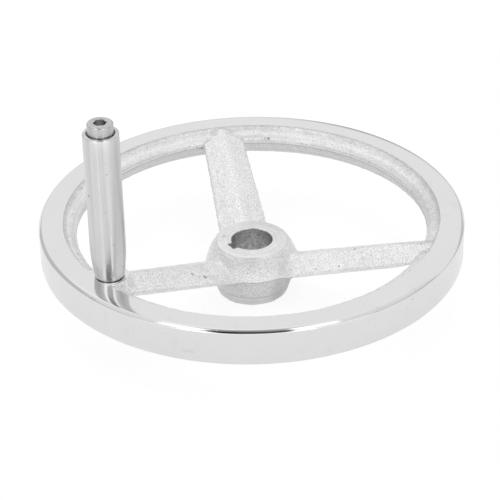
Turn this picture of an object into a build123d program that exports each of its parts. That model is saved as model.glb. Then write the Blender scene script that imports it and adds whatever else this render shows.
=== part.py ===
import os
from math import cos, hypot, radians, sin

from build123d import *

os.makedirs("parts", exist_ok=True)

# Dished machine handwheel with a revolving handle, in millimetres.
# Origin: bore axis at the hub's back face. +Z points at the operator,
# and the spoke that carries the handle lies along +X.

# rim
rim_diameter = 225.0
rim_height = 20.0
rim_face_height = 46.3  # from the hub's back face to the rim's turned face
rim_edge_chamfer = 1.5
rim_back_edge_chamfer = 1.0
rim_depth = 19.7  # from the outside in to the crest of the bead
rim_step_depth = 2.4  # from the turned face down to the crease beside the bead
rim_step_lean = 1.1
bead_to_step = 6.9  # from the bead's crest out to the turned face
rim_parting_depth = 7.3
rim_lower_bead_radius = 9.3
rim_lower_bead_sweep = 72.0
bead_to_back = 12.7  # from the bead's crest out to the back face
bead_chord_count = 4  # each round of the bead is a chain of this many short cones

# hub
hub_length = 30.0
hub_front_inset = 5.5  # front face, inside the parting edge
hub_front_edge_chamfer = 0.6
hub_parting_radius = 24.5
hub_parting_height = 18.1
hub_flank_bulge = 0.85
hub_foot_inset = 4.0  # drafted body at the band, inside the parting edge
hub_band_step = 0.8
hub_band_height = 5.4
hub_band_chamfer = 0.4

# bore and keyway
bore_diameter = 22.0
bore_chamfer = 0.3
keyway_width = 6.0
keyway_depth = 2.8  # beyond the bore wall
keyway_angle = -5.8

# spokes
spoke_count = 3
spoke_hub_half_width = 13.6
spoke_rim_half_width = 11.6
spoke_land_height = 1.3  # upright side above and below the parting plane
spoke_roof_height = 7.4  # apex of the facets, before the ridge is rounded
spoke_tip_roof_height = 6.6
spoke_roof_bulge = 0.25
spoke_ridge_radius = 6.0
spoke_levelling_length = 9.0
station_count = 7  # sections along the straight part of a spoke
hub_blend_radius = 3.0

# boss under the handle
handle_inset = 0.2  # handle's axis, outboard of the bead's crest
boss_radius = 9.6
boss_draft = 16.0
boss_depth = 9.0
boss_overrun = 2.0  # how far its straight run goes past the rim's step

# screw that carries the handle
screw_diameter = 8.0
screw_length = 90.0
screw_head_diameter = 13.0
screw_head_height = 8.0
screw_head_edge_chamfer = 0.7
screw_tip_chamfer = 1.0
socket_across_flats = 6.0
socket_depth = 4.3
thread_clearance = 0.05

# bush on which the grip turns
handle_rise = 78.0  # from the boss to the underside of the screw head
bush_diameter = 11.0
bush_bore_clearance = 0.3
bush_collar_diameter = 13.0
bush_collar_height = 0.5

# grip sleeve
grip_diameter = 18.0
grip_length = 80.0
grip_foot_diameter = 15.1
grip_foot_height = 20.0
grip_foot_bulge = 0.4
foot_chord_count = 3  # the waist is a chain of this many short cones
grip_edge_chamfer = 0.7
grip_foot_edge_chamfer = 0.35
grip_running_clearance = 0.05
grip_counterbore_diameter = 14.4
grip_end_play = 0.4

# derived places
rim_radius = rim_diameter / 2
hub_front_radius = hub_parting_radius - hub_front_inset
hub_foot_radius = hub_parting_radius - hub_foot_inset
hub_band_radius = hub_foot_radius - hub_band_step
rim_inner_radius = rim_radius - rim_depth
rim_face_inner_radius = rim_inner_radius + bead_to_step
rim_back_inner_radius = rim_inner_radius + bead_to_back
handle_radius = rim_inner_radius + handle_inset
rim_back_height = rim_face_height - rim_height
parting_height = rim_face_height - rim_parting_depth
crease_height = rim_face_height - rim_step_depth
upper_bead_radius = crease_height - parting_height
bore_radius = bore_diameter / 2
dish_slope = (parting_height - hub_parting_height) / (rim_inner_radius - hub_parting_radius)
width_taper = (spoke_hub_half_width - spoke_rim_half_width) / (rim_inner_radius - hub_parting_radius)
levelling_radius = rim_inner_radius - spoke_levelling_length
grip_base_height = rim_face_height + bush_collar_height
head_seat_height = rim_face_height + handle_rise


def round_points(centre, radius, start, sweep, chords):
    """Points of a chain of chords round part of a circle, angles in degrees."""
    angles = [radians(start + sweep * step / chords) for step in range(chords + 1)]
    return [(centre[0] + radius * cos(angle), centre[1] + radius * sin(angle)) for angle in angles]


def bulged_points(start, end, bulge, chords):
    """Points from start to end that stand off the straight line by up to bulge, to its right."""
    run, rise = end[0] - start[0], end[1] - start[1]
    length = hypot(run, rise)
    points = []
    for step in range(chords + 1):
        share = step / chords
        stand_off = 4 * bulge * share * (1 - share) / length
        points.append((start[0] + share * run + stand_off * rise, start[1] + share * rise - stand_off * run))
    return points


# Rim: turned face and outside, a rounded bead inside with its crest on the
# parting plane, and a narrower back face.
lower_bead = round_points(
    (rim_inner_radius + rim_lower_bead_radius, parting_height),
    rim_lower_bead_radius,
    180 + rim_lower_bead_sweep,
    -rim_lower_bead_sweep,
    bead_chord_count,
)
upper_bead = round_points(
    (rim_inner_radius + upper_bead_radius, parting_height),
    upper_bead_radius,
    180,
    -90,
    bead_chord_count,
)
with BuildPart() as rim:
    with BuildSketch(Plane.XZ):
        with BuildLine():
            Polyline(
                *lower_bead,
                *upper_bead[1:],
                (rim_face_inner_radius - rim_step_lean, crease_height),
                (rim_face_inner_radius, rim_face_height),
                (rim_radius, rim_face_height),
                (rim_radius, rim_back_height),
                (rim_back_inner_radius, rim_back_height),
                close=True,
            )
        make_face()
    revolve(axis=Axis.Z)
    outer_edges = rim.edges().filter_by(GeomType.CIRCLE).filter_by(
        lambda edge: abs(edge.radius - rim_radius) < 0.001
    )
    chamfer(outer_edges.sort_by(Axis.Z)[-1], rim_edge_chamfer)
    chamfer(outer_edges.sort_by(Axis.Z)[0], rim_back_edge_chamfer)

# Hub: turned band at the back, drafted body, rounded front flank.
with BuildPart() as hub:
    with BuildSketch(Plane.XZ):
        with BuildLine():
            Polyline(
                (0, hub_length),
                (0, 0),
                (hub_band_radius, 0),
                (hub_band_radius, hub_band_height),
                (hub_foot_radius, hub_band_height),
                (hub_parting_radius, hub_parting_height),
            )
            SagittaArc(
                (hub_parting_radius, hub_parting_height),
                (hub_front_radius, hub_length),
                -hub_flank_bulge,
            )
            Line((hub_front_radius, hub_length), (0, hub_length))
        make_face()
    revolve(axis=Axis.Z)

# One spoke: a chain of soft-roofed sections that climb the dish from inside
# the hub and level off inside the rim.
with BuildPart() as spoke:
    straight_step = (levelling_radius - hub_parting_radius) / (station_count - 1)
    straight_radii = [hub_parting_radius + straight_step * index for index in range(station_count)]
    for radius in [hub_front_radius / 2, *straight_radii, rim_inner_radius, rim_face_inner_radius]:
        reach = min(radius, rim_inner_radius) - hub_parting_radius
        middle = hub_parting_height + dish_slope * reach
        half_width = spoke_hub_half_width - width_taper * reach
        roof = spoke_roof_height if radius < rim_inner_radius else spoke_tip_roof_height
        section_plane = Plane((radius, 0, middle), x_dir=(0, 1, 0), z_dir=(1, 0, 0))
        with BuildSketch(section_plane) as section:
            with BuildLine():
                Line((half_width, -spoke_land_height), (half_width, spoke_land_height))
                SagittaArc((half_width, spoke_land_height), (0, roof), -spoke_roof_bulge)
                SagittaArc((0, roof), (-half_width, spoke_land_height), -spoke_roof_bulge)
                Line((-half_width, spoke_land_height), (-half_width, -spoke_land_height))
                SagittaArc((-half_width, -spoke_land_height), (0, -roof), -spoke_roof_bulge)
                SagittaArc((0, -roof), (half_width, -spoke_land_height), -spoke_roof_bulge)
            make_face()
            ridge_corners = section.vertices().group_by(Axis.Y)[0] + section.vertices().group_by(Axis.Y)[-1]
            fillet(ridge_corners, spoke_ridge_radius)
    loft()


# Boss: round under the handle, running straight out into the rim's step, its
# top flush with the turned face.
boss_run = rim_face_inner_radius + boss_overrun - handle_radius
with BuildPart() as boss:
    with BuildSketch(Plane.XY.offset(rim_face_height)):
        with Locations((handle_radius, 0)):
            Circle(boss_radius)
        with Locations((handle_radius + boss_run / 2, 0)):
            Rectangle(boss_run, 2 * boss_radius)
    extrude(amount=-boss_depth, taper=-boss_draft)

# The casting: rim, hub and spokes joined and blended, the boss added, then
# the bore, its keyway and the tapped hole for the handle cut.
with BuildPart() as wheel:
    add(rim.part)
    add(hub.part)
    with PolarLocations(0, spoke_count):
        add(spoke.part)
    junctions = wheel.edges(Select.NEW)
    hub_junctions = junctions.filter_by(
        lambda edge: abs(edge.center() - Vector(0, 0, edge.center().Z)) < 2 * hub_parting_radius
    )
    land_top = hub_parting_height + spoke_land_height
    hub_tops = hub_junctions.filter_by(lambda edge: edge.center().Z > land_top)
    fillet(hub_tops, hub_blend_radius)
    add(boss.part)
    hub_rims = wheel.edges().filter_by(GeomType.CIRCLE)
    front_edge = hub_rims.filter_by(lambda edge: abs(edge.radius - hub_front_radius) < 0.001)
    back_edge = hub_rims.filter_by(lambda edge: abs(edge.radius - hub_band_radius) < 0.001)
    chamfer(front_edge.sort_by(Axis.Z)[-1], hub_front_edge_chamfer)
    chamfer(back_edge.sort_by(Axis.Z)[0], hub_band_chamfer)

    # bore with both mouths eased
    with Locations((0, 0, hub_length / 2)):
        Cylinder(bore_radius, hub_length, mode=Mode.SUBTRACT)
    mouths = wheel.edges().filter_by(GeomType.CIRCLE).filter_by(
        lambda edge: abs(edge.radius - bore_radius) < 0.001
    )
    chamfer(mouths, bore_chamfer)

    # keyway, broached right through
    keyway_reach = bore_radius + keyway_depth
    with BuildSketch(Plane.XY.rotated((0, 0, keyway_angle))):
        with Locations((keyway_reach / 2, 0)):
            Rectangle(keyway_reach, keyway_width)
    extrude(amount=hub_length, mode=Mode.SUBTRACT)

    # tapped hole, drilled right through boss and spoke
    with Locations((handle_radius, 0, rim_face_height)):
        Cylinder(
            screw_diameter / 2 + thread_clearance,
            2 * rim_height,
            align=(Align.CENTER, Align.CENTER, Align.MAX),
            mode=Mode.SUBTRACT,
        )

# Screw that carries the handle: cap head with a hexagon socket, plain shank.
screw_tip_height = head_seat_height - screw_length
with BuildPart() as axle_screw:
    with Locations((handle_radius, 0, screw_tip_height)):
        Cylinder(
            screw_diameter / 2,
            screw_length,
            align=(Align.CENTER, Align.CENTER, Align.MIN),
        )
    chamfer(axle_screw.edges().sort_by(Axis.Z)[0], screw_tip_chamfer)
    with Locations((handle_radius, 0, head_seat_height)):
        Cylinder(
            screw_head_diameter / 2,
            screw_head_height,
            align=(Align.CENTER, Align.CENTER, Align.MIN),
        )
    chamfer(axle_screw.edges().sort_by(Axis.Z)[-1], screw_head_edge_chamfer)
    with BuildSketch(Plane.XY.offset(head_seat_height + screw_head_height)):
        with Locations((handle_radius, 0)):
            RegularPolygon(socket_across_flats / 2, 6, major_radius=False)
    extrude(amount=-socket_depth, mode=Mode.SUBTRACT)

# Bush clamped between boss and screw head, with a thin collar at its foot
# that lifts the grip clear of the boss.
with BuildPart() as axle_bush:
    with Locations((handle_radius, 0, rim_face_height)):
        Cylinder(
            bush_diameter / 2,
            handle_rise,
            align=(Align.CENTER, Align.CENTER, Align.MIN),
        )
        Cylinder(
            bush_collar_diameter / 2,
            bush_collar_height,
            align=(Align.CENTER, Align.CENTER, Align.MIN),
        )
        Cylinder(
            screw_diameter / 2 + bush_bore_clearance,
            handle_rise,
            align=(Align.CENTER, Align.CENTER, Align.MIN),
            mode=Mode.SUBTRACT,
        )

# Grip sleeve: parallel above, waisted towards its foot, counterbored at the
# top so that the screw head keeps it on with a little end play.
grip_radius = grip_diameter / 2
grip_foot_radius = grip_foot_diameter / 2
grip_top_height = grip_base_height + grip_length
counterbore_height = head_seat_height - grip_end_play
handle_axis = Axis((handle_radius, 0, 0), (0, 0, 1))
foot_waist = bulged_points(
    (grip_foot_radius, grip_base_height),
    (grip_radius, grip_base_height + grip_foot_height),
    grip_foot_bulge,
    foot_chord_count,
)
with BuildPart() as grip:
    with BuildSketch(Plane.XZ.move(Location((handle_radius, 0, 0)))):
        with BuildLine():
            Polyline(
                (0, grip_base_height),
                *foot_waist,
                (grip_radius, grip_top_height),
                (0, grip_top_height),
                close=True,
            )
        make_face()
    revolve(axis=handle_axis)
    round_edges = grip.edges().filter_by(GeomType.CIRCLE)
    chamfer(round_edges.sort_by(Axis.Z)[-1], grip_edge_chamfer)
    chamfer(round_edges.sort_by(Axis.Z)[0], grip_foot_edge_chamfer)
    with Locations((handle_radius, 0, counterbore_height)):
        Cylinder(
            grip_counterbore_diameter / 2,
            grip_top_height - counterbore_height,
            align=(Align.CENTER, Align.CENTER, Align.MIN),
            mode=Mode.SUBTRACT,
        )
    with Locations((handle_radius, 0, grip_base_height)):
        Cylinder(
            bush_diameter / 2 + grip_running_clearance,
            grip_length,
            align=(Align.CENTER, Align.CENTER, Align.MIN),
            mode=Mode.SUBTRACT,
        )

wheel.part.label = "wheel"
export_step(wheel.part, "parts/wheel.step")
axle_screw.part.label = "axle_screw"
export_step(axle_screw.part, "parts/axle_screw.step")
axle_bush.part.label = "axle_bush"
export_step(axle_bush.part, "parts/axle_bush.step")
grip.part.label = "grip"
export_step(grip.part, "parts/grip.step")
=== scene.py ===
from itertools import product
from math import cos, hypot, pi, radians, sin, sqrt, tan

import bpy
import numpy as np
from mathutils import Matrix, Vector


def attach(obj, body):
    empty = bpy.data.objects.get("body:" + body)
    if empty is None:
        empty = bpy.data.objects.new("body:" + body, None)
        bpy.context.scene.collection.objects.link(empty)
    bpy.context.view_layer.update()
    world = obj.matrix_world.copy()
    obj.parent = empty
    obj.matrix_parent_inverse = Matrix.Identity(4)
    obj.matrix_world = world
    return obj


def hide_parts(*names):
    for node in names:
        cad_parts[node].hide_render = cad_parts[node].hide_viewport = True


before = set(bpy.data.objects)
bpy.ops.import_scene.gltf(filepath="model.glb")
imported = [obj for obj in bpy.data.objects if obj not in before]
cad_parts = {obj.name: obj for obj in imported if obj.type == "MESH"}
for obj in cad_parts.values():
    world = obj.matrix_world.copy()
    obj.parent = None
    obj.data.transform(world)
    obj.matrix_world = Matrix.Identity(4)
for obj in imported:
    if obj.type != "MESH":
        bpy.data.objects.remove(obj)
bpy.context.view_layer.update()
mm = 0.001
print("frame loaded")


def newPiece(name, vertices, faces):
    # points in millimetres
    mesh = bpy.data.meshes.new(name)
    mesh.from_pydata((np.asarray(vertices, float) * mm).tolist(), [], [list(map(int, f)) for f in faces])
    mesh.validate()
    piece = bpy.data.objects.new(name, mesh)
    bpy.context.scene.collection.objects.link(piece)
    return piece


def dropPiece(piece):
    mesh = piece.data
    bpy.data.objects.remove(piece)
    bpy.data.meshes.remove(mesh)


def lathe(name, section, segments, centre=(0.0, 0.0)):
    # closed turned solid; section is a closed chain of (radius, height)
    area = sum(a[0] * b[1] - b[0] * a[1] for a, b in zip(section, section[1:] + section[:1]))
    if area < 0:
        section = section[::-1]
    turns = np.arange(segments) * 2 * pi / segments
    vertices, rings = [], []
    for radius, height in section:
        first = len(vertices)
        if radius < 1e-6:
            vertices.append((centre[0], centre[1], height))
            rings.append([first] * segments)
        else:
            vertices += [(centre[0] + radius * cos(t), centre[1] + radius * sin(t), height) for t in turns]
            rings.append(list(range(first, first + segments)))
    faces = []
    for a, b in zip(rings, rings[1:] + rings[:1]):
        for i in range(segments):
            j = (i + 1) % segments
            face = []
            for corner in (a[i], a[j], b[j], b[i]):
                if corner not in face:
                    face.append(corner)
            if len(face) > 2:
                faces.append(face)
    return newPiece(name, vertices, faces)


def bakeModifiers(piece):
    mesh = bpy.data.meshes.new_from_object(piece.evaluated_get(bpy.context.evaluated_depsgraph_get()))
    piece.modifiers.clear()
    old, piece.data = piece.data, mesh
    bpy.data.meshes.remove(old)


def combine(piece, tool, how):
    # boolean of two closed solids; the tool is used up
    step = piece.modifiers.new(how, "BOOLEAN")
    step.operation = how
    step.solver = "MANIFOLD"
    step.object = tool
    bakeModifiers(piece)
    piece.data.name = piece.name
    dropPiece(tool)


def arcPoints(centre, radius, start, sweep, count):
    turns = [radians(start + sweep * i / count) for i in range(count + 1)]
    return [(centre[0] + radius * cos(t), centre[1] + radius * sin(t)) for t in turns]


def meshArrays(mesh):
    points = np.empty(len(mesh.vertices) * 3)
    mesh.vertices.foreach_get("co", points)
    centres = np.empty(len(mesh.polygons) * 3)
    mesh.polygons.foreach_get("center", centres)
    normals = np.empty(len(mesh.polygons) * 3)
    mesh.polygons.foreach_get("normal", normals)
    return points.reshape(-1, 3) / mm, centres.reshape(-1, 3) / mm, normals.reshape(-1, 3)


# the casting is grown from distances to its plain forms, so that they run together as cast metal does
casting = dict(
    rimFace=46.3, parting=39.0, partingBlend=2.5, crease=43.9,
    beadInner=92.8, upperBead=4.9, lowerBead=9.3,
    stepFoot=98.6, stepHead=99.7, stepBlend=0.8,
    coneInner=99.25, coneTop=30.15, coneRoof=31.5, coneWall=98.9, coneBlend=0.6, backFace=26.3, backInner=105.5,
    outer=108.0, top=48.0, bottom=24.6,  # the rest of the rim is a plain ring, joined on later
    hubParting=18.1, hubRadius=24.5, hubFront=19.0, hubLength=30.0, hubBulge=0.85,
    hubFoot=20.5, hubBandTop=5.4, hubOverrun=3.0, hubEdgeSoft=0.3, flashRise=0.3, flashWidth=0.5,
    spokeStart=10.0, spokeEnd=104.0, spokeRoot=13.6, spokeTip=11.6, edgeTop=1.3, edgeFoot=0.5,
    edgeDraft=0.2, edgeMiddle=0.9, edgeSoft=0.5, roof=7.0, roofTip=4.5, roofFrom=76.0, roofTo=98.5, ridgeSoft=1.5,
    handle=93.0, bossRadius=9.6, bossDraft=16.0, bossDepth=9.5,
    hubBlend=1.8, rimBlend=0.5, bossBlend=1.6,
    swell=0.10, swellLength=4.2,  # slight unevenness of the cast skin
    step=0.85, reach=109.0, low=-5.0, high=50.0,  # the grid it is grown on
    levelFrom=88.0, skinFrom=80.0, skinBlend=0.7,  # where the parting line is level, and where the rim's skin is
)
c = casting
slope = (c["parting"] - c["hubParting"]) / (c["beadInner"] - c["hubRadius"])
taper = (c["spokeRoot"] - c["spokeTip"]) / (c["beadInner"] - c["hubRadius"])


def softMin(a, b, k):
    h = np.maximum(k - np.abs(a - b), 0) / k
    return np.minimum(a, b) - h * h * k / 4


def softMax(a, b, k):
    return -softMin(-a, -b, k)


def partingHeight(u):
    # u is the distance out along the nearest spoke
    line = c["hubParting"] + slope * (u - c["hubRadius"])
    return softMin(line, np.full_like(u, c["parting"]), c["partingBlend"])


def rimDistance(r, z):
    high = np.where(r < c["beadInner"] + c["upperBead"],
                    np.hypot(r - c["beadInner"] - c["upperBead"], z - c["parting"]) - c["upperBead"],
                    z - c["crease"])
    low = np.where(r < c["beadInner"] + c["lowerBead"],
                   np.hypot(r - c["beadInner"] - c["lowerBead"], z - c["parting"]) - c["lowerBead"],
                   c["parting"] - c["lowerBead"] - z)
    bead = np.where(z > c["parting"], high, low)
    lean = (c["stepHead"] - c["stepFoot"]) / (c["rimFace"] - c["crease"])
    wall = (c["stepFoot"] + lean * (z - c["crease"]) - r) / sqrt(1 + lean * lean)
    upper = np.maximum(wall, c["parting"] - z)
    run, drop = c["backInner"] - c["coneInner"], c["coneTop"] - c["backFace"]
    lower = ((c["coneInner"] - r) * drop + (c["coneTop"] - z) * run) / hypot(run, drop)
    lower = np.maximum(lower, np.maximum(z - c["coneRoof"], c["coneWall"] - r))
    solid = softMin(softMin(bead, upper, c["stepBlend"]), lower, c["coneBlend"])
    return np.maximum(np.maximum(solid, r - c["outer"]), np.maximum(z - c["top"], c["bottom"] - z))


# factors a little under 1, here and below, turn a level difference into the distance from a sloping wall
def hubDistance(r, z):
    t = (z - c["hubParting"]) / (c["hubLength"] - c["hubParting"])
    upper = c["hubRadius"] + (c["hubFront"] - c["hubRadius"]) * t + 4 * c["hubBulge"] / 0.909 * t * (1 - t)
    draft = (c["hubRadius"] - c["hubFoot"]) / (c["hubParting"] - c["hubBandTop"])
    lower = c["hubFoot"] + draft * (z - c["hubBandTop"])
    side = softMax((r - upper) * 0.92, (r - lower) * 0.95, c["hubEdgeSoft"])
    side = side - c["flashRise"] * np.exp(-((z - c["hubParting"]) / c["flashWidth"]) ** 2)
    return np.maximum(side, np.maximum(z - c["hubLength"] - c["hubOverrun"], -c["hubOverrun"] - z))


def spokeDistance(u, v, z):
    middle = c["hubParting"] + slope * (u - c["hubRadius"])
    half = c["spokeRoot"] - taper * (np.minimum(u, c["beadInner"]) - c["hubRadius"])
    out = np.clip((u - c["roofFrom"]) / (c["roofTo"] - c["roofFrom"]), 0, 1)
    roof = c["roof"] + (c["roofTip"] - c["roof"]) * out * out * (2 - out)
    soft = c["ridgeSoft"]
    across = (np.sqrt(v * v + soft * soft) - soft) / (np.sqrt(half * half + soft * soft) - soft)
    rise = z - middle
    above = rise - roof + (roof - c["edgeTop"]) * across
    below = -roof - rise + (roof + c["edgeFoot"]) * across
    lid = np.maximum(above, below) * 0.86
    side = np.abs(v) - half + c["edgeDraft"] * np.abs(rise - c["edgeMiddle"])
    body = softMax(lid, side, c["edgeSoft"])
    return np.maximum(body, np.maximum(c["spokeStart"] - u, u - c["spokeEnd"]))


def bossDistance(x, y, z):
    out = np.where(x > c["handle"], np.abs(y), np.hypot(x - c["handle"], y))
    lean = np.tan(radians(c["bossDraft"]))
    side = (out - c["bossRadius"] - lean * (c["rimFace"] - z)) * 0.96
    ends = np.maximum(z - c["top"], c["rimFace"] - c["bossDepth"] - z)
    return np.maximum(np.maximum(side, x - c["spokeEnd"]), ends)


waves = np.random.default_rng(7).normal(size=(10, 3))
waves *= 2 * pi / c["swellLength"] / np.linalg.norm(waves, axis=1)[:, None] * np.linspace(0.6, 1.4, 10)[:, None]
phases = np.random.default_rng(8).uniform(0, 2 * pi, 10)


def unevenness(p):
    return np.sin(p @ waves.T + phases).sum(1) / 3.2


def spokePlace(x, y):
    # distance from the axis, distance out along the nearest spoke, and distance sideways from its middle
    r = np.hypot(x, y)
    sector = 2 * pi / 3
    turn = np.arctan2(y, x)
    turn = turn - sector * np.round(turn / sector)
    return r, r * np.cos(turn), r * np.sin(turn)


def castDistance(p):
    x, y, z = p.T
    r, u, v = spokePlace(x, y)
    body = softMin(hubDistance(r, z), spokeDistance(u, v, z), c["hubBlend"])
    body = softMin(body, bossDistance(x, y, z), c["bossBlend"])
    body = softMin(body, rimDistance(r, z), c["rimBlend"])
    return body + c["swell"] * unevenness(p)


def netSurface(distance, low, high, step):
    # points and quads where distance is zero: found on a grid, then drawn onto the surface
    counts = [int(np.ceil((b - a) / step)) + 1 for a, b in zip(low, high)]
    axes = [a + step * np.arange(n) for a, n in zip(low, counts)]
    field = np.empty(counts, np.float32)
    ys, zs = np.meshgrid(axes[1], axes[2], indexing="ij")
    for i, x in enumerate(axes[0]):
        field[i] = distance(np.stack([np.full(ys.size, x), ys.ravel(), zs.ravel()], 1)).reshape(ys.shape)
    inside = field < 0
    filled = np.zeros([n - 1 for n in counts], np.int8)
    for i, j, k in product((0, 1), repeat=3):
        filled += inside[i:counts[0] - 1 + i, j:counts[1] - 1 + j, k:counts[2] - 1 + k]
    mixed = (filled > 0) & (filled < 8)  # the cells that the surface passes through
    number = np.full(mixed.shape, -1, np.int64)
    number[mixed] = np.arange(mixed.sum())
    points = np.array(low) + step * (np.argwhere(mixed) + 0.5)
    quads = []
    for axis in range(3):
        a, b = [s for s in range(3) if s != axis]
        first = np.take(inside, range(counts[axis] - 1), axis)
        second = np.take(inside, range(1, counts[axis]), axis)
        edges = np.argwhere(first != second)
        above = (edges[:, a] > 0) & (edges[:, b] > 0)
        edges = edges[above & (edges[:, a] < counts[a] - 1) & (edges[:, b] < counts[b] - 1)]
        rising = first[tuple(edges.T)]
        ids = []
        for da, db in ((1, 1), (0, 1), (0, 0), (1, 0)):
            corner = edges.copy()
            corner[:, a] -= da
            corner[:, b] -= db
            ids.append(number[tuple(corner.T)])
        quad = np.stack(ids, 1)
        flip = rising if axis == 1 else ~rising
        quad[flip] = quad[flip][:, ::-1]
        quads.append(quad)
    quads = np.concatenate(quads)

    def project(points):
        # down the slope of the distance to where it is zero
        probe = 0.02
        for _ in range(3):
            d = distance(points)
            gradient = np.empty_like(points)
            for axis in range(3):
                shift = np.zeros(3)
                shift[axis] = probe
                gradient[:, axis] = (distance(points + shift) - distance(points - shift)) / (2 * probe)
            size = np.maximum((gradient ** 2).sum(1), 1e-4)
            points = points - gradient * np.clip(d / size, -step, step)[:, None]
        return points

    # even the points out along the surface
    points = project(points)
    links = np.concatenate([quads[:, [i, (i + 1) % 4]] for i in range(4)])
    for _ in range(3):
        total = np.zeros_like(points)
        meeting = np.zeros(len(points))
        for i, j in ((0, 1), (1, 0)):
            np.add.at(total, links[:, i], points[links[:, j]])
            np.add.at(meeting, links[:, i], 1)
        points = project(points + 0.6 * (total / meeting[:, None] - points))
    return points, quads


reach = c["reach"]
points, quads = netSurface(castDistance, (-reach, -reach, c["low"]), (reach, reach, c["high"]), c["step"])
print("casting grown:", len(points), "points", len(quads), "faces")
wheel = newPiece("wheelCasting", points, quads)
# the rest of the rim, a little over size, to be turned
blank = [(103.0, 31.0), (107.2, 25.4), (114.0, 25.4), (114.0, 47.4), (103.0, 47.4)]
combine(wheel, lathe("rimBlank", blank, 480), "UNION")
print("rim joined:", len(wheel.data.polygons))

# everything that is cut after casting; the tools reach well past the metal they take away
turned = dict(
    rim=112.5, face=46.3, back=26.3, edge=1.5, roll=5.2, edgeRound=0.12,
    hubFront=30.0, hubFrontRadius=19.5, hubBack=19.7, hubBand=5.4, backEdge=0.4,
    bore=11.0, boreEdge=0.3, boreRun=1.3,
    keyTurn=-5.8, keyHalf=3.0, keyReach=13.8,
    drill=4.05, drillCentre=(93.0, 0.0),
)
t = turned
# the rim's front edge is a chamfer whose two corners have been polished round: its slopes in degrees, and
# how long each is beside the others
edgeTurns = [0.7, 1.5, 2.5, 3.8, 5.5, 9, 20, 32, 41, 45, 45, 49, 58, 70, 82]
edgeSteps = [1.2, 1.2, 1.1, 1.0, 0.8, 0.12, 0.16, 0.24, 0.36, 0.55, 0.55, 0.36, 0.24, 0.16, 0.10]
rollStart = t["rim"] - t["edge"] - t["edgeRound"] - t["roll"]
scale = (t["rim"] - rollStart) / sum(step * cos(radians(a)) for a, step in zip(edgeTurns, edgeSteps))
frontEdge = [(rollStart, t["face"])]
for a, step in zip(edgeTurns, edgeSteps):
    radius, height = frontEdge[-1]
    frontEdge.append((radius + scale * step * cos(radians(a)), height - scale * step * sin(radians(a))))
backEdge = [(t["rim"] - inward, t["back"] + upward) for inward, upward in (
    (0, 1.2), (0.08, 0.75), (0.35, 0.35), (0.75, 0.1), (1.2, 0))]
combine(wheel, lathe("rimTool", [
    (60, 55), (60, t["face"]), *frontEdge, *backEdge, (88, t["back"]), (88, 20), (120, 20), (120, 55),
], 480), "DIFFERENCE")
front, frontRadius = t["hubFront"], t["hubFrontRadius"]
combine(wheel, lathe("frontTool", [
    (0, front), (frontRadius - 1.2, front), (frontRadius - 0.65, front - 0.13), (frontRadius - 0.25, front - 0.45),
    (frontRadius, front - 0.8), (21.2, front - 1.0), (23, front + 6), (0, front + 6)], 240), "DIFFERENCE")
combine(wheel, lathe("backTool", [
    (0, 0), (t["hubBack"] - t["backEdge"], 0), (t["hubBack"], t["backEdge"]), (t["hubBack"], t["hubBand"]),
    (30, t["hubBand"]), (30, -8), (0, -8)], 240), "DIFFERENCE")
boreMouth = t["bore"] + t["boreRun"]
combine(wheel, lathe("boreTool", [
    (0, -1), (boreMouth, -1), (t["bore"], t["boreEdge"]), (t["bore"], front - t["boreEdge"]),
    (boreMouth, front + 1), (0, front + 1)], 192), "DIFFERENCE")
print("turned:", len(wheel.data.polygons))

keyTurn = radians(t["keyTurn"])
alongKey = np.array([cos(keyTurn), sin(keyTurn), 0])
acrossKey = np.array([-sin(keyTurn), cos(keyTurn), 0])
keyFoot = [(4, -t["keyHalf"]), (t["keyReach"], -t["keyHalf"]), (t["keyReach"], t["keyHalf"]), (4, t["keyHalf"])]
corners = [alongKey * a + acrossKey * b + np.array([0, 0, h]) for h in (-2, front + 2) for a, b in keyFoot]
combine(wheel, newPiece("keyTool", corners, [
    (0, 3, 2, 1), (4, 5, 6, 7), (0, 1, 5, 4), (1, 2, 6, 5), (2, 3, 7, 6), (3, 0, 4, 7)]), "DIFFERENCE")
drillTool = lathe("drillTool", [(0, 20), (t["drill"], 20), (t["drill"], 50), (0, 50)], 96, t["drillCentre"])
combine(wheel, drillTool, "DIFFERENCE")
triangles = sum(len(face.vertices) - 2 for face in wheel.data.polygons)
print("drilled:", len(wheel.data.polygons), "faces", triangles, "triangles")

# which faces were turned or bored after casting
places, centres, normals = meshArrays(wheel.data)
faceReach = np.hypot(centres[:, 0], centres[:, 1])
loopCount = np.empty(len(wheel.data.polygons), np.int64)
wheel.data.polygons.foreach_get("loop_total", loopCount)
loopStart = np.cumsum(loopCount) - loopCount
loopPoint = np.empty(len(wheel.data.loops), np.int64)
wheel.data.loops.foreach_get("vertex_index", loopPoint)
faceLow = np.minimum.reduceat(places[loopPoint, 2], loopStart)
faceHigh = np.maximum.reduceat(places[loopPoint, 2], loopStart)
onFace = (faceLow > t["face"] - 0.02) & (faceHigh < t["face"] + 0.02)
onOutside = faceReach > rollStart - 0.12
onBack = (faceLow > t["back"] - 0.02) & (faceHigh < t["back"] + 0.02)
upright = np.abs(normals[:, 2]) < 0.9
onBore = (faceReach < t["keyReach"] + 0.4) & upright
onDrill = (np.hypot(centres[:, 0] - c["handle"], centres[:, 1]) < t["drill"] + 0.05) & upright
onHubBack = (centres[:, 2] < t["hubBand"] + 0.02) & (faceReach < c["hubFoot"] + 0.1)
onHubFront = (centres[:, 2] > front - 0.85) & (faceReach < frontRadius + 0.1)
kind = np.zeros(len(centres), np.int32)  # 0 cast, 1 polished, 2 bored, 3 faced
kind[onFace | onOutside | onBack] = 1
kind[onHubBack | onHubFront] = 3
kind[onBore | onDrill] = 2

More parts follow.
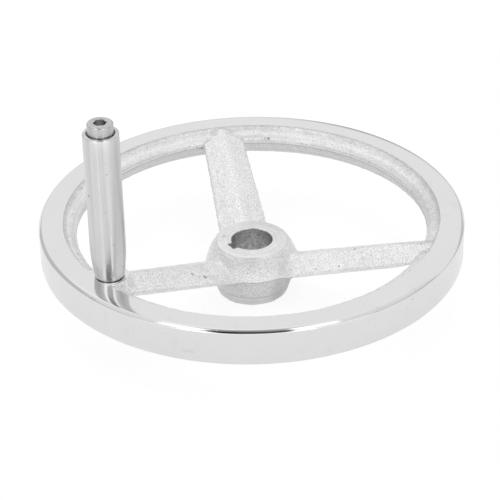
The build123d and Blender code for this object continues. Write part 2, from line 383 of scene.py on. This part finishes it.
# crisp edges only where a tool has cut; the cast skin stays smooth
wheel.data.shade_smooth()
wheel.data.set_sharp_from_angle(angle=radians(26))
loopEdge = np.empty(len(wheel.data.loops), np.int64)
wheel.data.loops.foreach_get("edge_index", loopEdge)
edgeCut = np.zeros(len(wheel.data.edges), bool)
edgeCut[loopEdge[np.repeat(kind > 0, loopCount)]] = True
sharp = wheel.data.attributes["sharp_edge"].data
flags = np.empty(len(sharp), bool)
sharp.foreach_get("value", flags)
sharp.foreach_set("value", flags & edgeCut)
wheel.data.update()
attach(wheel, "wheel_body")
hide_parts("wheel")

# where each point lies on the casting, for its finish and for the shade and highlight painted on it: height over the
# parting surface, distance from the face's inner edge, distance from the seams at rim and hub, and whether it is the
# rim's skin
away, out, aside = spokePlace(places[:, 0], places[:, 1])
height = places[:, 2]
split = partingHeight(out)
split = np.where(away < c["hubRadius"] + 3, c["hubParting"] + np.maximum(split - c["hubParting"], 0), split)
split = np.where(away > c["levelFrom"], c["parting"], split)
edgeGap = np.hypot(away - c["stepHead"], height - c["rimFace"])
edgeGap = np.minimum(edgeGap, 0.12 + np.hypot(away - c["stepFoot"], height - c["crease"]))
rimGap, hubGap, spokeGap = rimDistance(away, height), hubDistance(away, height), spokeDistance(out, aside, height)
pointFacts = dict(
    partingGap=height - split, faceEdgeGap=edgeGap,
    rimSeam=np.hypot(rimGap, spokeGap), hubSeam=np.hypot(hubGap, spokeGap),
    rimSkin=np.clip(0.5 + (spokeGap - rimGap) / c["skinBlend"], 0, 1) * (away > c["skinFrom"]),
)
for name, fact in pointFacts.items():
    wheel.data.attributes.new(name, "FLOAT", "POINT").data.foreach_set("value", fact.astype(np.float32))


class Wire:
    # an output socket; sums written on it become Math nodes in its tree
    def __init__(self, tree, socket=None):
        self.tree, self.socket = tree, socket

    def make(self, kind, settings, sockets, output=0):
        # settings first, then values or links for the sockets, by name or number
        node = self.tree.nodes.new(kind)
        for name, value in settings.items():
            setattr(node, name, value)
        for name, value in sockets.items():
            if isinstance(value, Wire):
                self.tree.links.new(value.socket, node.inputs[name])
            else:
                node.inputs[name].default_value = value
        return Wire(self.tree, node.outputs[output])

    def sum(self, operation, first, second=0.0):
        return self.make("ShaderNodeMath", {"operation": operation}, {0: first, 1: second})

    def size(self):
        return self.sum("ABSOLUTE", self)

    def __add__(self, other):
        return self.sum("ADD", self, other)

    def __radd__(self, other):
        return self.sum("ADD", other, self)

    def __sub__(self, other):
        return self.sum("SUBTRACT", self, other)

    def __rsub__(self, other):
        return self.sum("SUBTRACT", other, self)

    def __mul__(self, other):
        return self.sum("MULTIPLY", self, other)

    def __rmul__(self, other):
        return self.sum("MULTIPLY", other, self)

    def step(self, low, high):
        # 0 at low and 1 at high, eased between
        return self.make("ShaderNodeMapRange", {"interpolation_type": "SMOOTHSTEP"},
                         {"Value": self, "From Min": low, "From Max": high})


def newFinish(name, metallic=1.0):
    # a principled material, and object places in millimetres
    finish = bpy.data.materials.new(name)
    finish.use_nodes = True
    tree = finish.node_tree
    shader = tree.nodes["Principled BSDF"]
    shader.inputs["Metallic"].default_value = metallic
    places = Wire(tree).make("ShaderNodeTexCoord", {}, {}, "Object")
    places = places.make("ShaderNodeVectorMath", {"operation": "SCALE"}, {0: places, "Scale": 1000.0})
    return finish, shader, places


def grain(places, size, detail=2.0, roughness=0.5, stretch=None, shift=(0.0, 0.0, 0.0)):
    # noise whose lumps are about size millimetres across
    if stretch:
        places = places.make("ShaderNodeVectorMath", {"operation": "MULTIPLY_ADD"}, {0: places, 1: stretch, 2: shift})
    return places.make("ShaderNodeTexNoise", {}, {
        "Vector": places, "Scale": 1.0 / size, "Detail": detail, "Roughness": roughness})


def near(places, spot, radius, edge=0.4):
    # 1 within radius of a spot, 0 outside
    away = places.make("ShaderNodeVectorMath", {"operation": "DISTANCE"}, {0: places, 1: spot}, "Value")
    return 1 - away.step(radius * (1 - edge), radius)


def placedMarks(places, spots, others):
    # each spot is a place, a radius and a strength; others are the marks that are not at a spot
    return sum((near(places, spot, radius) * strength for spot, radius, strength in spots), others)


def ringAndHeight(places):
    # distance from the wheel's axis, and height
    x, y, z = (places.make("ShaderNodeSeparateXYZ", {}, {0: places}, side) for side in "XYZ")
    square = x * x + y * y
    return square.sum("SQRT", square), z


def turningPlaces(places, ring, z):
    # alike all the way round, as marks left with the wheel turning are
    return places.make("ShaderNodeCombineXYZ", {}, {"X": ring, "Y": z})


def storedFact(places, name):
    return places.make("ShaderNodeAttribute", {"attribute_name": name}, {}, "Fac")


def tint(factor, low, high):
    # from low to high, each a grey or a colour already made
    low = low if isinstance(low, Wire) else (low, low, low, 1.0)
    high = high if isinstance(high, Wire) else (high, high, high, 1.0)
    return factor.make("ShaderNodeMix", {"data_type": "RGBA"}, {0: factor, 6: low, 7: high}, 2)


def relief(height, depth):
    # depth in millimetres
    return height.make("ShaderNodeBump", {}, {"Strength": 1.0, "Distance": depth * mm, "Height": height})


def wearIt(shader, **sockets):
    names = dict(colour="Base Color", roughness="Roughness", normal="Normal")
    for name, wire in sockets.items():
        wire.tree.links.new(wire.socket, shader.inputs[names[name]])


blasted = dict(
    light=1.0, dark=0.48, roughness=0.46, roughnessSpread=0.22, grainSize=0.52, grainDepth=0.14,
    dotSize=0.54, dotShare=0.30, dotTone=0.30, dotDepth=0.08, lumpSize=4.5, lumpDepth=0.22, wideSize=26.0,
    brushedSize=1.5, brushedShare=0.60, brushedDepth=0.10, pitSize=4.0, pitShare=0.55, pitTone=0.35, pitDepth=0.25,
    raggedSize=1.8, flashHighlightTone=1.0, flashDepth=0.25, beadDepth=0.15, stainAndShadeTone=0.24, rimAndUnderShadeTone=0.40, markDepth=0.3,
    spots=[
        ((38.8, 8.3, 26.3), 1.3, 0.6), ((45.1, 5.6, 29.4), 1.1, 0.45), ((42.0, 7.4, 27.0), 0.8, 0.5),
        ((-28.1, 50.2, 35.0), 0.7, 0.6), ((-17.1, 50.4, 29.2), 0.6, 0.6), ((-10.5, 39.5, 25.3), 0.6, 0.6),
        ((-67.0, -64.8, 41.2), 1.0, 0.7), ((-65.7, -66.2, 41.2), 0.8, 0.5), ((-35.1, -86.0, 38.0), 0.9, 0.6),
        # the last two spots, wide and faint, are painted shade on the hub's lower flank and on the rim's inside; the
        # others are real marks
        ((-7.0, 21.5, 11.0), 15.0, 0.2), ((-78.0, 50.0, 39.0), 30.0, 0.12),
    ],
)


def blastedCasting():
    s = blasted
    finish, shader, places = newFinish("blastedAluminium")
    ring, z = ringAndHeight(places)
    onRim = storedFact(places, "rimSkin")
    sand = (grain(places, s["grainSize"], 2.0, 0.65) - 0.5) * (1 - onRim * 0.5) + 0.5
    speck = grain(places, s["grainSize"] * 1.9, 1.0, 0.5)
    lumps = grain(places, s["lumpSize"], 2.0, 0.5)
    wide = grain(places, s["wideSize"], 2.0, 0.5)
    brushed = grain(turningPlaces(places, ring, z), s["brushedSize"], 2.0, 0.55) - 0.5
    brushed = brushed * onRim  # the rim's bead was dressed with the wheel turning
    pits = grain(places, s["pitSize"], 1.0, 0.5).step(0.80, 0.85)
    tone = sand * 0.72 + speck * 0.12 + lumps * 0.08 + wide * 0.08 + brushed * s["brushedShare"]
    colour = tint(tone.step(0.29, 0.53), s["dark"], s["light"])
    colour = tint(pits * s["pitShare"], colour, s["pitTone"])
    gap = storedFact(places, "partingGap")
    ragged = grain(places, s["raggedSize"], 2.0, 0.6)
    # painted highlight: the parting flash, and the bead along the hub's seam below, are lightened almost to white,
    # standing in for the light these real fins catch
    flash = (1 - gap.size().step(0.45, 1.05)) * ragged.step(0.30, 0.46) * (1 - ring.step(86.0, 90.0) * 0.85)
    # painted shadow: a thin dark band just under the parting flash
    shadeUnderFlash = gap.step(-1.5, -0.5) * (1 - gap.step(-0.5, -0.2))
    # painted shade: a dark line on the cast skin just above the hub's band
    stepFoot = 1 - z.step(c["hubBandTop"] + 0.1, c["hubBandTop"] + 0.6)
    bead = 1 - storedFact(places, "hubSeam").step(0.35, 1.1)
    bead = bead * ragged.step(0.30, 0.60) * z.step(c["hubParting"], c["hubParting"] + 1.5)
    # painted shade: a dark line in the crease where the spokes meet the rim
    crease = 1 - storedFact(places, "rimSeam").step(0.2, 0.9)
    # painted highlight on the flash and on the hub's seam bead
    colour = tint(flash.sum("MAXIMUM", flash, bead * 0.8), colour, s["flashHighlightTone"])
    # the three painted shade lines above darken the colour
    colour = tint(shadeUnderFlash * 0.35 + stepFoot * 0.55 + crease * 0.22, colour, s["stainAndShadeTone"])
    # painted shade: the hub below its parting line and the rim's skin below its parting line are darkened, as they
    # face the floor; the rim's skin is also a little darker all over
    belly = (1 - z.step(c["hubParting"] - 1.2, c["hubParting"] - 0.4)) * (1 - ring.step(24.5, 28.0))
    underRim = onRim * (1 - z.step(c["parting"] - 0.8, c["parting"] + 0.2))
    colour = tint(belly * 0.30 + onRim * 0.10 + underRim * 0.22, colour, s["rimAndUnderShadeTone"])
    # painted light: the hub's flank just above its parting line is lightened
    flank = z.step(c["hubParting"], c["hubParting"] + 1.0) * (1 - ring.step(24.5, 27.0))
    colour = tint(flank * 0.22, colour, s["light"])
    dots = grain(places, s["dotSize"], 0.0).step(0.54, 0.66)
    colour = tint(dots * (belly * 0.12 + flank * 0.08 + s["dotShare"]), colour, s["dotTone"])
    # painted shade: a dark line along the face's inner edge and in the corner at the step's foot; with the placed
    # spots it darkens the colour, where the two wide spots are painted shade and the small ones real marks
    edgeShade = 1 - storedFact(places, "faceEdgeGap").step(0.10, 0.45)
    marks = placedMarks(places, s["spots"], edgeShade * 0.5)
    colour = tint(marks, colour, s["stainAndShadeTone"])
    height = sand * s["grainDepth"] + lumps * s["lumpDepth"] + brushed * s["brushedDepth"]
    height = height + flash * s["flashDepth"] + bead * s["beadDepth"]
    height = height - dots * s["dotDepth"] - pits * s["pitDepth"] - marks * s["markDepth"]
    roughness = sand * s["roughnessSpread"] + (s["roughness"] - s["roughnessSpread"] / 2)
    wearIt(shader, colour=colour, roughness=roughness, normal=relief(height, 1.0))
    return finish


polish = dict(
    tone=0.775, spread=0.03, roughness=0.075, roughnessSpread=0.04, turningSize=0.9, turningDepth=0.0016,
    cloudSize=34.0, stainSize=9.0, stainShare=0.22, stainAndShadeTone=0.66, speckSize=1.6, speckShare=0.35, speckTone=0.35,
    waveSize=30.0, waveDepth=0.12, markDepth=0.05,
    spots=[
        ((-10.0, 111.9, 41.8), 0.5, 0.8), ((111.9, 9.9, 44.9), 1.0, 0.22), ((111.6, 12.0, 44.9), 0.9, 0.18),
        ((94.1, 61.6, 32.1), 1.5, 0.10), ((92.9, 63.4, 32.5), 1.2, 0.12), ((92.0, 64.7, 32.4), 1.6, 0.10),
    ],
)


def polishedRim():
    s = polish
    finish, shader, places = newFinish("polishedAluminium")
    ring, z = ringAndHeight(places)
    turning = grain(turningPlaces(places, ring, z), s["turningSize"], 3.0, 0.6)
    cloud = grain(places, s["cloudSize"], 3.0, 0.55)
    stain = grain(places, s["stainSize"], 3.0, 0.6).step(0.58, 0.70)
    speck = grain(places, s["speckSize"], 0.0).step(0.88, 0.92)
    colour = tint(cloud * 0.6 + turning * 0.4, s["tone"] - s["spread"], s["tone"] + s["spread"])
    colour = tint(stain * s["stainShare"], colour, s["stainAndShadeTone"])
    marks = placedMarks(places, s["spots"], speck * s["speckShare"])
    colour = tint(marks, colour, s["speckTone"])
    spread = s["roughnessSpread"]
    roughness = turning * spread + stain * spread + cloud * spread + marks * 0.2 + (s["roughness"] - spread)
    wave = grain(places, s["waveSize"], 1.0)
    height = turning * s["turningDepth"] + wave * s["waveDepth"] - marks * s["markDepth"]
    wearIt(shader, colour=colour, roughness=roughness, normal=relief(height, 1.0))
    return finish


bored = dict(
    light=0.98, dark=0.40, roughness=0.34, roughnessSpread=0.15, lineSize=0.35, lineDepth=0.012,
    cloudSize=2.2, cloudDepth=0.02, grainSize=0.5,
)


def boredWall():
    s = bored
    finish, shader, places = newFinish("boredAluminium")
    lines = grain(places, s["lineSize"], 2.0, 0.6, (0.05, 0.05, 1.0))
    cloud = grain(places, s["cloudSize"], 3.0, 0.6)
    sand = grain(places, s["grainSize"], 2.0, 0.6)
    tone = (lines * 0.2 + cloud * 0.35 + sand * 0.45).step(0.36, 0.60)
    roughness = lines * s["roughnessSpread"] + (s["roughness"] - 0.07)
    height = lines * s["lineDepth"] + cloud * s["cloudDepth"]
    wearIt(shader, colour=tint(tone, s["dark"], s["light"]), roughness=roughness, normal=relief(height, 1.0))
    return finish


faced = dict(
    light=0.92, dark=0.68, roughness=0.38, roughnessSpread=0.2, markAndShadeTone=0.3, markDepth=0.1,
    lineSize=0.8, lineDepth=0.05, grainSize=0.8, grainDepth=0.05, patchSize=7.0,
    # the second spot, wide and faint, is painted shade on the hub's back band; the first is a real mark
    spots=[((9.2, -11.9, 30.0), 1.5, 0.35), ((-7.0, 19.5, 2.5), 12.0, 0.2)],
)


def facedHub():
    s = faced
    finish, shader, places = newFinish("facedAluminium")
    ring, z = ringAndHeight(places)
    lines = grain(turningPlaces(places, ring, z), s["lineSize"], 3.0, 0.65)
    sand = grain(places, s["grainSize"], 2.0, 0.6)
    patch = grain(places, s["patchSize"], 2.0, 0.5)
    tone = (lines * 0.40 + sand * 0.42 + patch * 0.18).step(0.32, 0.68)
    # painted shade: a dark line at the step over the hub's band, and everything below the step a little darker; the
    # foot mask darkens the band's lowest edge
    stepLine = z.step(4.5, 4.85) * (1 - z.step(5.6, 6.0))
    foot = (1 - z.step(0.25, 0.6)) * ring.step(19.2, 19.4)
    marks = placedMarks(places, s["spots"], stepLine * 0.75 + foot * 0.6) + (1 - z.step(5.6, 6.0)) * 0.16
    colour = tint(marks, tint(tone, s["dark"], s["light"]), s["markAndShadeTone"])
    roughness = sand * s["roughnessSpread"] + (s["roughness"] - s["roughnessSpread"] / 2)
    height = lines * s["lineDepth"] + sand * s["grainDepth"] - marks * s["markDepth"]
    wearIt(shader, colour=colour, roughness=roughness, normal=relief(height, 1.0))
    return finish


wheel.data.materials.clear()
for finish in (blastedCasting(), polishedRim(), boredWall(), facedHub()):
    wheel.data.materials.append(finish)
wheel.data.polygons.foreach_set("material_index", kind)
print("wheel finished")

grip = dict(
    centre=(93.0, 0.0), foot=46.8, length=80.0, radius=9.0, footRadius=7.55, footHeight=20.0,
    bulge=0.4, bore=5.55, counterbore=7.2, counterDepth=2.9,
    light=0.76, dark=0.59, roughness=0.26, spots=[((102.0, -0.4, 95.1), 0.8, 0.6), ((95.2, 8.7, 68.3), 0.5, 0.8)],
)


def gripSection():
    g = grip
    foot, footRadius, radius = g["foot"], g["footRadius"], g["radius"]
    chain = [(g["bore"] + 0.25, foot), (footRadius - 0.35, foot)]
    chain += [(footRadius - 0.10, foot + 0.08), (footRadius, foot + 0.35)]
    for i in range(1, 17):
        part = i / 16
        bulge = 4 * g["bulge"] * part * (1 - part)
        chain.append((footRadius + (radius - footRadius) * part + bulge, foot + g["footHeight"] * part))
    straight = g["length"] - g["footHeight"] - 0.7
    chain += [(radius, foot + g["footHeight"] + straight * i / 8) for i in range(1, 9)]
    top = foot + g["length"]
    ledge = top - g["counterDepth"]
    chain += [(radius - 0.08, top - 0.42), (radius - 0.28, top - 0.14), (radius - 0.6, top)]
    chain += [(g["counterbore"] + 0.15, top), (g["counterbore"], top - 0.15), (g["counterbore"], ledge)]
    chain += [(g["bore"] + 0.2, ledge), (g["bore"], ledge - 0.2), (g["bore"], foot + 0.25)]
    return chain


sleeve = lathe("gripSleeve", gripSection(), 160, grip["centre"])
sleeve.data.shade_smooth()
sleeve.data.set_sharp_from_angle(angle=radians(35))
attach(sleeve, "grip_body")
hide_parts("grip")


steel = dict(
    anisotropy=0.9, anisotropyTurn=0.25,  # turning marks run round, so gloss spreads along the axis
    hairSize=0.5, hairDepth=0.004, cloudSize=14.0, streakSize=2.4, speckSize=1.5, speckShare=0.4,
    roughnessSpread=0.08, markAndShadeTone=0.25, markDepth=0.03,
)


def turnedSteel(name, piece):
    # piece is the dictionary of the piece that wears it: its light and dark tones, roughness and spots
    s = steel
    finish, shader, places = newFinish(name)
    shader.inputs["Anisotropic"].default_value = s["anisotropy"]
    shader.inputs["Anisotropic Rotation"].default_value = s["anisotropyTurn"]
    hair = grain(places, s["hairSize"], 3.0, 0.6, (1.0, 1.0, 0.03))
    cloud = grain(places, s["cloudSize"], 2.0, 0.5)
    streak = grain(places, s["streakSize"], 2.0, 0.5, (1.0, 1.0, 0.012)).step(0.34, 0.66)
    speck = grain(places, s["speckSize"], 0.0).step(0.86, 0.90)
    marks = placedMarks(places, piece["spots"], speck * s["speckShare"])
    tone = hair * 0.3 + cloud * 0.3 + streak * 0.4
    colour = tint(marks, tint(tone, piece["dark"], piece["light"]), s["markAndShadeTone"])
    roughness = hair * s["roughnessSpread"] + marks * 0.2 + (piece["roughness"] - s["roughnessSpread"] / 2)
    height = hair * s["hairDepth"] - marks * s["markDepth"]
    wearIt(shader, colour=colour, roughness=roughness, normal=relief(height, 1.0))
    return finish


sleeve.data.materials.append(turnedSteel("turnedSteel", grip))

thread = dict(pitch=1.25, turns=9, root=3.35, ridge=0.6, holeRoot=4.05, holeFoot=29.6, holeTurns=3.0)
screw = dict(
    centre=(93.0, 0.0), seat=124.3, head=6.5, headHeight=8.0, headRound=1.0, shank=4.0, length=90.0,
    socket=3.0, socketDepth=4.3, socketPoint=1.2,
    light=0.66, dark=0.50, roughness=0.28, spots=[],
)


def capScrew():
    s = screw
    top = s["seat"] + s["headHeight"]
    tip = s["seat"] - s["length"]
    run = tip + thread["pitch"] * thread["turns"]
    chain = [(0, tip), (thread["root"] - 0.4, tip), (thread["root"], tip + 0.4), (thread["root"], run)]
    chain += [(s["shank"], run + 0.6), (s["shank"], s["seat"])]
    chain += [(s["head"] - 0.25, s["seat"]), (s["head"], s["seat"] + 0.25)]
    chain += arcPoints((s["head"] - s["headRound"], top - s["headRound"]), s["headRound"], 0, 90, 8)
    chain += [(0, top)]
    piece = lathe("capScrew", chain, 96, s["centre"])
    # six-sided hole with a point at its foot and a flare at its mouth
    levels = [(-s["socketDepth"], s["socket"]), (-0.22, s["socket"]), (0.5, s["socket"] + 0.72)]
    points = [(*s["centre"], top - s["socketDepth"] - s["socketPoint"])]
    for height, across in levels:
        corner = across / cos(pi / 6)
        for i in range(6):
            turn = pi / 6 + i * pi / 3
            points.append((s["centre"][0] + corner * cos(turn), s["centre"][1] + corner * sin(turn), top + height))
    faces = [(0, 1 + (i + 1) % 6, 1 + i) for i in range(6)]
    for level in (1, 7):
        faces += [(level + i, level + (i + 1) % 6, level + 6 + (i + 1) % 6, level + 6 + i) for i in range(6)]
    faces.append(tuple(range(13, 19)))
    combine(piece, newPiece("keySocket", points, faces), "DIFFERENCE")
    piece.data.shade_smooth()
    piece.data.set_sharp_from_angle(angle=radians(32))
    return piece


bolt = capScrew()
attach(bolt, "wheel_body")
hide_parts("axle_screw")
bolt.data.materials.clear()
bolt.data.materials.append(turnedSteel("screwSteel", screw))


def threadTree():
    # a ridge of diamond section wound round an upright axle
    tree = bpy.data.node_groups.new("threadWinding", "GeometryNodeTree")
    face = tree.interface
    face.new_socket("Geometry", in_out="OUTPUT", socket_type="NodeSocketGeometry")
    for name, kind in (("Geometry", "Geometry"), ("Pitch", "Float"), ("Turns", "Float"), ("Root", "Float"),
                       ("Ridge", "Float"), ("Place", "Vector"), ("Finish", "Material")):
        face.new_socket(name, in_out="INPUT", socket_type="NodeSocket" + kind)

    def given(name):
        return Wire(tree).make("NodeGroupInput", {}, {}, name)

    root, turns = given("Root"), given("Turns")
    path = root.make("GeometryNodeCurveSpiral", {}, {
        "Resolution": 36, "Rotations": turns, "Start Radius": root, "End Radius": root,
        "Height": given("Pitch") * turns})
    path = path.make("GeometryNodeSetCurveNormal", {"mode": "Z_UP"}, {"Curve": path})
    ridge = path.make("GeometryNodeCurvePrimitiveCircle", {"mode": "RADIUS"},
                      {"Resolution": 4, "Radius": given("Ridge")})
    body = path.make("GeometryNodeCurveToMesh", {}, {"Curve": path, "Profile Curve": ridge, "Fill Caps": True})
    body = body.make("GeometryNodeTransform", {}, {"Geometry": body, "Translation": given("Place")})
    body = body.make("GeometryNodeRealizeInstances", {}, {"Geometry": body})
    body = body.make("GeometryNodeSetMaterial", {}, {"Geometry": body, "Material": given("Finish")})
    tree.links.new(body.socket, tree.nodes.new("NodeGroupOutput").inputs["Geometry"])
    return tree


windThread = threadTree()


def woundThread(name, finish, turns, root, foot):
    piece = newPiece(name, [], [])
    grown = piece.modifiers.new("thread", "NODES")
    grown.node_group = windThread
    across, along = screw["centre"]
    values = {
        "Pitch": thread["pitch"] * mm, "Turns": turns, "Root": root * mm, "Ridge": thread["ridge"] * mm,
        "Place": (across * mm, along * mm, foot * mm), "Finish": finish}
    for item in windThread.interface.items_tree:
        if item.in_out == "INPUT" and item.name in values:
            grown[item.identifier] = values[item.name]
    bakeModifiers(piece)
    print(name, len(piece.data.polygons), "faces")
    return piece


screwFoot = screw["seat"] - screw["length"] + 0.7
screwThread = woundThread("screwThread", bolt.data.materials[0], thread["turns"] - 1.0, thread["root"], screwFoot)
holeThread = woundThread(
    "holeThread", wheel.data.materials[2], thread["holeTurns"], thread["holeRoot"], thread["holeFoot"])
for piece, slot in ((screwThread, "screw_steel"), (holeThread, "cast_aluminium")):
    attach(piece, "wheel_body")

bush = dict(
    centre=(93.0, 0.0), foot=46.3, top=124.3, bore=4.3, radius=5.5, collar=6.5, collarTop=46.8,
    light=0.55, dark=0.42, roughness=0.30, spots=[],
)
b = bush
lining = lathe("axleBush", [
    (b["bore"], b["foot"]), (b["collar"], b["foot"]), (b["collar"], b["collarTop"]), (b["radius"], b["collarTop"]),
    (b["radius"], b["top"]), (b["bore"], b["top"])], 96, b["centre"])
lining.data.shade_smooth()
lining.data.set_sharp_from_angle(angle=radians(32))
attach(lining, "wheel_body")
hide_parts("axle_bush")
lining.data.materials.append(turnedSteel("bushSteel", bush))
print("handle made")

# camera: distances in rim radii, measured from the middle of the turned face; focal length in pixels
view = dict(
    focal=1849.94559, picture=500, sensor=36.0, turn=-219.42, tilt=0.548317068, roll=0.0195667176,
    distance=8.71545970, right=-0.00996793711, up=-0.176303174,
)
spin = Matrix.Rotation(radians(view["turn"]), 3, "Z")
back = spin @ Vector((0, -cos(view["tilt"]), sin(view["tilt"])))
right = spin @ Vector((1, 0, 0))
up = spin @ Vector((0, sin(view["tilt"]), cos(view["tilt"])))
eye = (back * view["distance"] + right * view["right"] + up * view["up"]) * turned["rim"] * mm
eye = eye + Vector((0, 0, turned["face"] * mm))
rolledRight = right * cos(view["roll"]) - up * sin(view["roll"])
rolledUp = right * sin(view["roll"]) + up * cos(view["roll"])
camera = bpy.data.objects.new("camera", bpy.data.cameras.new("camera"))
bpy.context.scene.collection.objects.link(camera)
camera.matrix_world = Matrix((
    (rolledRight.x, rolledUp.x, back.x, eye.x),
    (rolledRight.y, rolledUp.y, back.y, eye.y),
    (rolledRight.z, rolledUp.z, back.z, eye.z),
    (0, 0, 0, 1)))
camera.data.sensor_width = view["sensor"]
camera.data.lens = view["focal"] / view["picture"] * view["sensor"]
camera.data.clip_start = 0.05
bpy.context.scene.camera = camera

# floor and light: a pale floor, a white surround, and light and dark cards for the polished faces to mirror
studio = dict(
    floorReach=4000, floorHeight=-0.1, floorTone=0.95, floorWhite=1.08, cameraLift=0.78, glossLift=0.40,
    wall=0.86, backWall=0.09, ceiling=0.10, horizon=0.34,
    # azimuth, elevation, half width, half height and softness of its edge, tone; a later card covers an earlier one
    cards=[
        (-88, 2, 28, 9, 0.05, 1.05), (0, 2, 60, 8, 0.05, 2.9), (-95, 21, 52, 10, 0.05, 0.62),
        (70, 21, 38, 10, 0.05, 0.70), (122, 24, 14, 13, 0.05, 0.95), (160, 13, 16, 9, 0.05, 0.45),
        (0, 37, 16, 27, 0.05, 0.34), (0, 64, 20, 9, 0.08, 0.50), (-2, 48, 19, 9, 0.07, 0.02),
        (-46, 50, 9, 9, 0.03, 1.45), (40, 52, 9, 8, 0.03, 1.45), (-31, 27, 7, 17, 0.03, 1.75),
        (26.5, 27, 4.5, 18, 0.03, 1.75),
    ],
    # name, azimuth, elevation, distance, size, strength
    lamps=[("keyLeft", -135, 60, 1500, (1100, 1100), 0.11), ("fillFront", 20, 40, 1700, (1200, 900), 0.04)],
    lampsAim=40,
)
scene = bpy.context.scene
scene.view_settings.view_transform = "Standard"
towards = Vector((back.x, back.y, 0)).normalized()
sideways = Vector((right.x, right.y, 0)).normalized()


def around(azimuth, elevation):
    # a direction from the wheel; azimuth 0 is the camera's side and grows to its right
    a, e = radians(azimuth), radians(elevation)
    return towards * cos(a) * cos(e) + sideways * sin(a) * cos(e) + Vector((0, 0, sin(e)))


def background(tree):
    # which rays should see the plain background: those from the camera, and those from a gloss or through a glass
    names = ("Is Camera Ray", "Is Glossy Ray", "Is Transmission Ray")
    direct, gloss, glass = (Wire(tree).make("ShaderNodeLightPath", {}, {}, name) for name in names)
    return direct, gloss.sum("MAXIMUM", gloss, glass)


corners = [(x * studio["floorReach"], y * studio["floorReach"], studio["floorHeight"])
           for x, y in ((-1, -1), (1, -1), (1, 1), (-1, 1))]
floor = newPiece("floor", corners, [(0, 1, 2, 3)])
paper, shader, places = newFinish("palePaper", 0.0)
tree = paper.node_tree
direct, seen = background(tree)
shader.inputs["Base Color"].default_value = (studio["floorTone"],) * 3 + (1.0,)
shader.inputs["Roughness"].default_value = 0.9
shader.inputs["Specular IOR Level"].default_value = 0.0
white = seen.make("ShaderNodeEmission", {}, {"Color": (1.0, 1.0, 1.0, 1.0), "Strength": studio["floorWhite"]})
lift = direct * studio["cameraLift"] + seen * studio["glossLift"]
mixed = seen.make("ShaderNodeMixShader", {}, {0: lift, 1: Wire(tree, shader.outputs[0]), 2: white})
tree.links.new(mixed.socket, tree.nodes["Material Output"].inputs["Surface"])
floor.data.materials.append(paper)

world = bpy.data.worlds.new("studio")
scene.world = world
world.use_nodes = True
tree = world.node_tree
direct, seen = background(tree)
facing = Wire(tree).make("ShaderNodeTexCoord", {}, {}, "Generated")


def along(direction):
    # how far the view points that way: 1 straight along it, -1 straight against it
    return facing.make("ShaderNodeVectorMath", {"operation": "DOT_PRODUCT"},
                       {0: facing, 1: tuple(direction)}, "Value")


def card(azimuth, elevation, halfWidth, halfHeight, soft):
    # 1 inside an upright card that faces the wheel, its half sizes in degrees
    middle, side = around(azimuth, elevation), around(azimuth + 90, 0)
    ahead, across, upward = along(middle), along(side), along(middle.cross(side) * -1)
    inWidth = 1 - (across.size() - ahead * tan(radians(halfWidth))).step(-soft, soft)
    inHeight = 1 - (upward.size() - ahead * tan(radians(halfHeight))).step(-soft, soft)
    return inWidth * inHeight * ahead.step(0.0, 0.1)


height = along((0, 0, 1))
tones = studio["wall"] + along(around(180, 35)).step(0.3, 0.9) * studio["backWall"]
tones = tones + height.step(0.65, 0.95) * studio["ceiling"]
tones = tones * (1 - (1 - height.size().step(0.02, 0.40)) * studio["horizon"])
for *placed, tone in studio["cards"]:
    tones = tones + (tone - tones) * card(*placed)
level = direct + (1 - direct) * tones
tree.links.new(level.socket, tree.nodes["Background"].inputs["Strength"])
tree.nodes["Background"].inputs["Color"].default_value = (1.0, 1.0, 1.0, 1.0)


def addLamp(name, azimuth, elevation, distance, size, radiance):
    light = bpy.data.lights.new(name, "AREA")
    light.shape = "RECTANGLE"
    light.size, light.size_y = size[0] * mm, size[1] * mm
    light.energy = 4 * radiance * light.size * light.size_y
    lamp = bpy.data.objects.new(name, light)
    scene.collection.objects.link(lamp)
    middle = Vector((0, 0, studio["lampsAim"] * mm))
    lamp.location = middle + around(azimuth, elevation) * distance * mm
    lamp.rotation_euler = (middle - lamp.location).to_track_quat("-Z", "Y").to_euler()


for lamp in studio["lamps"]:
    addLamp(*lamp)
print("studio lit")
